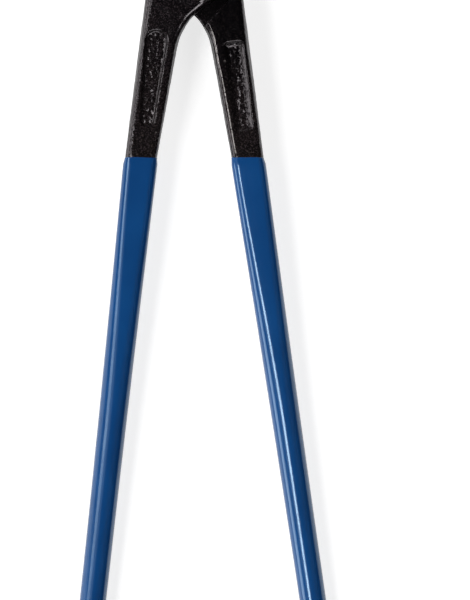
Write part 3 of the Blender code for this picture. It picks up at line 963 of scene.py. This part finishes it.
def in_recess(points, shape, face):
    """1 on the floor of a recess, 0 outside it."""
    top, bottom, top_half, bottom_half = shape[:4]
    along = (bottom - top).normalized()
    across = Vector((-along.y, along.x))
    run = (points[:, 0] - top.x) * along.x + (points[:, 1] - top.y) * along.y
    side = (points[:, 0] - top.x) * across.x + (points[:, 1] - top.y) * across.y
    length = (bottom - top).length
    half = top_half + (bottom_half - top_half) * run / length
    inside = smooth_step(half - np.abs(side), 0.0, FLOOR_FADE_ACROSS)
    inside *= smooth_step(run, 0.0, FLOOR_FADE_ALONG) * smooth_step(
        length - run, 0.0, FLOOR_FADE_ALONG
    )
    sunk = smooth_step(
        arm_half_thickness(points[:, 1]) - face * points[:, 2],
        RECESS_DEPTH * FLOOR_START_SHARE,
        RECESS_DEPTH * FLOOR_FULL_SHARE,
    )
    return inside * sunk * (face * points[:, 2] > 0)


def crest(points, line):
    """1 on a line drawn on a face, falling off to its sides and at its ends."""
    nearest = np.full(len(points), np.inf)
    ends = np.array(line)
    for start, end in zip(ends, ends[1:]):
        run = end - start
        share = np.clip((points[:, :2] - start) @ run / (run @ run), 0, 1)
        foot = start + share[:, None] * run
        nearest = np.minimum(nearest, np.hypot(*(points[:, :2] - foot).T))
    fade = np.minimum(
        np.hypot(*(points[:, :2] - ends[0]).T), np.hypot(*(points[:, :2] - ends[-1]).T)
    )
    return smooth_step(CREST_HALF_WIDTH * 2 - nearest, 0.0, CREST_HALF_WIDTH * 2) * smooth_step(
        fade, 0.0, CREST_FADE
    )


def roughen(mesh, seed):
    """Moves the forged skin in and out a little: slow waves, lumps, grain, pitted recess floors,
    the trimmed flash along the arm's sides and the rubbed crests, which it marks for a painted
    highlight of bare steel."""
    points = vertex_array(mesh)
    normals = vertex_array(mesh, "normal")
    height, up = np.abs(points[:, 2]), normals[:, 2]
    lap = (height < LAP_BAND) & (np.abs(up) > LAP_FACING)
    move = WAVE_DEPTH * rough_values(points, WAVE_SIZE, seed) - SKIN_BIAS
    move += LUMP_DEPTH * rough_values(points, LUMP_SIZE, seed + 1)
    move += GRAIN_DEPTH * rough_values(points, GRAIN_SIZE, seed + 2)
    on_eye = np.hypot(points[:, 0], points[:, 1]) < EYE_RADIUS
    eye_face = (height > EYE_HALF_THICKNESS - EYE_FACE_BAND) & on_eye
    move[lap | eye_face] *= MACHINED_SHARE
    floor = in_recess(points, ROUND_RECESS, 1) + in_recess(points, SQUARE_RECESS, -1)
    lumps = rough_values(points, FLOOR_LUMP_SIZE, seed + 3)
    pits = rough_values(points, FLOOR_GRAIN_SIZE, seed + 4)
    move += floor * (FLOOR_LUMP_DEPTH * lumps + FLOOR_GRAIN_DEPTH * pits)
    flash = smooth_step(FLASH_HALF_WIDTH - height, 0.0, FLASH_HALF_WIDTH / 2)
    flash *= smooth_step(-points[:, 1], CHEEK_DEPTH + FLASH_START, CHEEK_DEPTH + FLASH_FULL)
    flash *= np.abs(up) < FLASH_FACING
    unevenness = 1 + FLASH_CHANGE * rough_values(points, LUMP_SIZE, seed + 5)
    move += flash * FLASH_HEIGHT * unevenness
    crotch_crest = crest(points, CROTCH_CREST) * (up > CREST_FACING)
    inner_crest = crest(points, INNER_CREST) * (up < -CREST_FACING)
    move += CREST_HEIGHT * (crotch_crest + inner_crest)
    # The mark asks for a painted highlight of bare steel, weaker at the crotch
    rubbed_highlight = CROTCH_HIGHLIGHT_SHARE * crotch_crest + inner_crest
    mark = mesh.attributes.new(RUBBED_HIGHLIGHT, "FLOAT", "POINT")
    mark.data.foreach_set("value", rubbed_highlight.astype(np.float32))
    set_points(mesh, points + normals * move[:, None])


def lever_mesh(name, angle, seed):
    """The forging: joined, cut, softened like a forging, roughened, then drilled and ground."""
    tools = {
        "eye": add_object("eye", turned("eye", eye_profile())),
        "lap": add_object("lap", lap_cutter()),
        "round": add_object("round", recess_cutter(1, ROUND_RECESS, ROUND_RECESS_WALL_RUN)),
        "square": add_object("square", recess_cutter(-1, SQUARE_RECESS, SQUARE_RECESS_WALL_RUN)),
        "hole": add_object("hole", turned("hole", hole_profile())),
        "stone": add_object("stone", stone_cutter()),
    }
    tools["stone"].data.materials.append(GROUND)
    blank = loft(name, [ring(station, CORNER_STEPS) for station in arm_with_stub()])
    forged = modified(
        name,
        blank,
        cut("UNION", tools["eye"]),
        cut("DIFFERENCE", tools["lap"]),
        cut("DIFFERENCE", tools["round"]),
        cut("DIFFERENCE", tools["square"]),
        ("REMESH", {"mode": "VOXEL", "voxel_size": VOXEL}),
        ("SMOOTH", {"factor": SOFTEN_FACTOR, "iterations": SOFTEN_ROUNDS}),
    )
    roughen(forged, seed)
    forged.materials.clear()
    forged.materials.append(FORGED)
    finished = modified(
        name,
        forged,
        cut("DIFFERENCE", tools["hole"]),
        cut("DIFFERENCE", tools["stone"], material_mode="TRANSFER"),
    )
    for tool in tools.values():
        bpy.data.objects.remove(tool)
    finished.shade_smooth()
    finished.set_sharp_from_angle(angle=FORGED_SHARP_ANGLE)
    inset = GRIP_WALL + FIT_GAP
    start = STUB_LENGTH - TANG_OVERLAP
    end = GRIP_LENGTH - GRIP_END_WALL - FIT_GAP
    stations = handle_stations(start, end, inset, angle, TANG_STEPS)
    tang = loft("tang", [ring(station, CORNER_STEPS) for station in stations])
    tang.materials.append(FORGED)
    tang.shade_smooth()
    return joined(name, finished, tang)


def joined(name, *meshes):
    shape = bmesh.new()
    for mesh in meshes:
        shape.from_mesh(mesh)
    made = bpy.data.meshes.new(name)
    shape.to_mesh(made)
    shape.free()
    for finish in meshes[0].materials:
        made.materials.append(finish)
    return made


def grip_mesh(name, angle, seed):
    """The dipped skin, closed at its far end: up its bore, over its wavy lip and down its
    outside."""
    bore = handle_stations(STUB_LENGTH, GRIP_LENGTH - GRIP_END_WALL, GRIP_WALL, angle, TANG_STEPS)
    outside = handle_stations(LIP_RUN, GRIP_LENGTH - SKIN_BIAS, 0.0, angle, HANDLE_STEPS)
    stations = [*reversed(bore), *lip_stations(angle), *outside]
    mesh = loft(name, [ring(station, GRIP_CORNER_STEPS) for station in stations])
    points = vertex_array(mesh)
    normals = vertex_array(mesh, "normal")
    move = -GRIP_WAVE_DEPTH + GRIP_WAVE_DEPTH * rough_values(points, GRIP_WAVE_SIZE, seed)
    points += normals * move[:, None]
    lip = smooth_step(points[:, 1], -MOUTH_DEPTH - LIP_RUN, -MOUTH_DEPTH - LIP_EDGE)
    waves = rough_values(points * (1, 0, 1), LIP_WAVE_SIZE, seed + 1) - LIP_WAVE_SHIFT
    points[:, 1] += lip * LIP_WAVE_DEPTH * waves
    set_points(mesh, points)
    mesh.shade_smooth()
    mesh.materials.append(BLUE)
    return mesh


def placed(mesh, turned_over):
    """Moves a mesh from the lever's own frame to the part's. The rear lever lies turned over."""
    points = vertex_array(mesh)
    if turned_over:
        points *= (-1, 1, -1)
    points[:, 2] += EYE_HALF_THICKNESS
    set_points(mesh, points)
    return mesh


def add_piece(name, mesh, body, node):
    made = add_object(name, mesh)
    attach(made, body)
    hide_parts(node)


def add_pieces():
    for side, angle, over, seed in (
        ("front", FRONT_HANDLE_ANGLE, False, FRONT_SEED),
        ("rear", REAR_HANDLE_ANGLE, True, REAR_SEED),
    ):
        body = f"{side}_half"
        lever = placed(lever_mesh(f"{side}_lever_forging", angle, seed), over)
        add_piece(f"{side}_lever_forging", lever, body, f"{side}_lever")
        grip = placed(grip_mesh(f"{side}_grip_sleeve", angle, seed + GRIP_SEED_SHIFT), over)
        add_piece(f"{side}_grip_sleeve", grip, body, f"{side}_grip")
    rivet = placed(rivet_mesh(), False)
    rivet.shade_smooth()
    rivet.set_sharp_from_angle(angle=RIVET_SHARP_ANGLE)
    rivet.materials.append(RIVET)
    add_piece("pivot_rivet_turned", rivet, "front_half", "pivot_rivet")


def collected(*names):
    """A collection of some pieces, for lamps that light only these."""
    made = bpy.data.collections.new("_and_".join(names))
    for name in names:
        made.objects.link(bpy.data.objects[name])
    return made


def add_floor():
    """A pale floor that the jaws' backs and the grips' far ends touch. It shows white."""
    jaw_foot = EYE_HALF_THICKNESS - JAW_HALF_THICKNESS
    grip_foot = EYE_HALF_THICKNESS - GRIP_END_HALF_THICKNESS
    slope = (grip_foot - jaw_foot) / (GRIP_FOOT_Y - JAW_FOOT_Y)
    low, high = -FLOOR_REACH, FLOOR_REACH
    corners = [
        (x, y, jaw_foot + (y - JAW_FOOT_Y) * slope - FLOOR_GAP)
        for x, y in ((low, low), (high, low), (high, high), (low, high))
    ]
    mesh = bpy.data.meshes.new("floor")
    mesh.from_pydata(corners, [], [(0, 1, 2, 3)])
    floor = add_object("floor", mesh)
    made = material("floor_paper")
    tree = Tree(made)
    tree.shader.inputs["Base Color"].default_value = (FLOOR_GREY, FLOOR_GREY, FLOOR_GREY, 1.0)
    tree.shader.inputs["Roughness"].default_value = FLOOR_ROUGHNESS
    tree.shader.inputs["Specular IOR Level"].default_value = 0.0
    tree.shader.inputs["Emission Color"].default_value = WHITE
    path = tree.add("ShaderNodeLightPath")
    seen = tree.math("MAXIMUM", path.outputs["Is Camera Ray"], path.outputs["Is Glossy Ray"])
    seen = tree.math("MAXIMUM", seen, path.outputs["Is Transmission Ray"])
    tree.feed(tree.shader, "Emission Strength", tree.math("MULTIPLY", seen, FLOOR_GLOW))
    mesh.materials.append(made)


def add_world():
    """A room that is white near the horizon, except at the right, and dim overhead."""
    world = bpy.data.worlds.new("studio")
    bpy.context.scene.world = world
    world.use_nodes = True
    tree = Tree(world)
    background = world.node_tree.nodes["Background"]
    direction = tree.add("ShaderNodeTexCoord").outputs["Generated"]
    dim = tree.math(
        "MAXIMUM",
        tree.span(tree.axis(direction, "Z"), HORIZON_FADE, smooth=True),
        tree.span(tree.axis(direction, "X"), RIGHT_FADE, smooth=True),
    )
    tree.feed(background, "Color", tree.mix(dim, WHITE, ROOM_DIMNESS))
    background.inputs["Strength"].default_value = 1.0


def add_lamp(name, place, along, size, radiance, rays, lit):
    """A softbox that faces the tool. Its second side lies as nearly along an axis as it can. Lit
    is the collection that it lights alone, or none."""
    data = bpy.data.lights.new(name, "AREA")
    data.shape = "RECTANGLE"
    data.size, data.size_y = size
    data.energy = radiance * math.pi * size[0] * size[1]
    lamp = bpy.data.objects.new(name, data)
    back = (Vector(place) - Vector((*VIEW_CENTRE, EYE_HALF_THICKNESS))).normalized()
    side = Vector(AXES[along]).cross(back).normalized()
    up = back.cross(side)
    lamp.matrix_world = Matrix((side, up, back)).transposed().to_4x4()
    lamp.location = place
    lamp.visible_glossy = "glossy" in rays
    lamp.visible_diffuse = "diffuse" in rays
    lamp.light_linking.receiver_collection = lit
    bpy.context.scene.collection.objects.link(lamp)


def add_lamps():
    lit = {title: collected(*names) for title, names in LIT_PIECES.items()}
    for name, (place, along, size, radiance, rays, title) in LAMPS.items():
        add_lamp(name, place, along, size, radiance, rays, lit.get(title))


def add_camera():
    data = bpy.data.cameras.new("photo_view")
    data.lens = LENS
    data.sensor_width = SENSOR
    data.clip_end = FAR_CLIP
    camera = bpy.data.objects.new("photo_view", data)
    distance = VIEW_LENGTH * LENS / SENSOR
    camera.location = (*VIEW_CENTRE, EYE_HALF_THICKNESS + distance)
    bpy.context.scene.collection.objects.link(camera)
    bpy.context.scene.camera = camera


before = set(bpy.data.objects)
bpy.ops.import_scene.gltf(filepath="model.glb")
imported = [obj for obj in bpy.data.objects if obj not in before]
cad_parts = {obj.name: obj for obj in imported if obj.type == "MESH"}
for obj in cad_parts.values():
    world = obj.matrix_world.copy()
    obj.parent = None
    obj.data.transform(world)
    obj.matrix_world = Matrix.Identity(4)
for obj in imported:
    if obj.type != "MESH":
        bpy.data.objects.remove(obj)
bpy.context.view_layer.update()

FORGED = forged_steel()
GROUND = ground_steel()
RIVET = rivet_steel()
BLUE = blue_plastic()

add_pieces()
add_floor()
add_world()
add_lamps()
add_camera()

bpy.context.scene.view_settings.view_transform = "Standard"
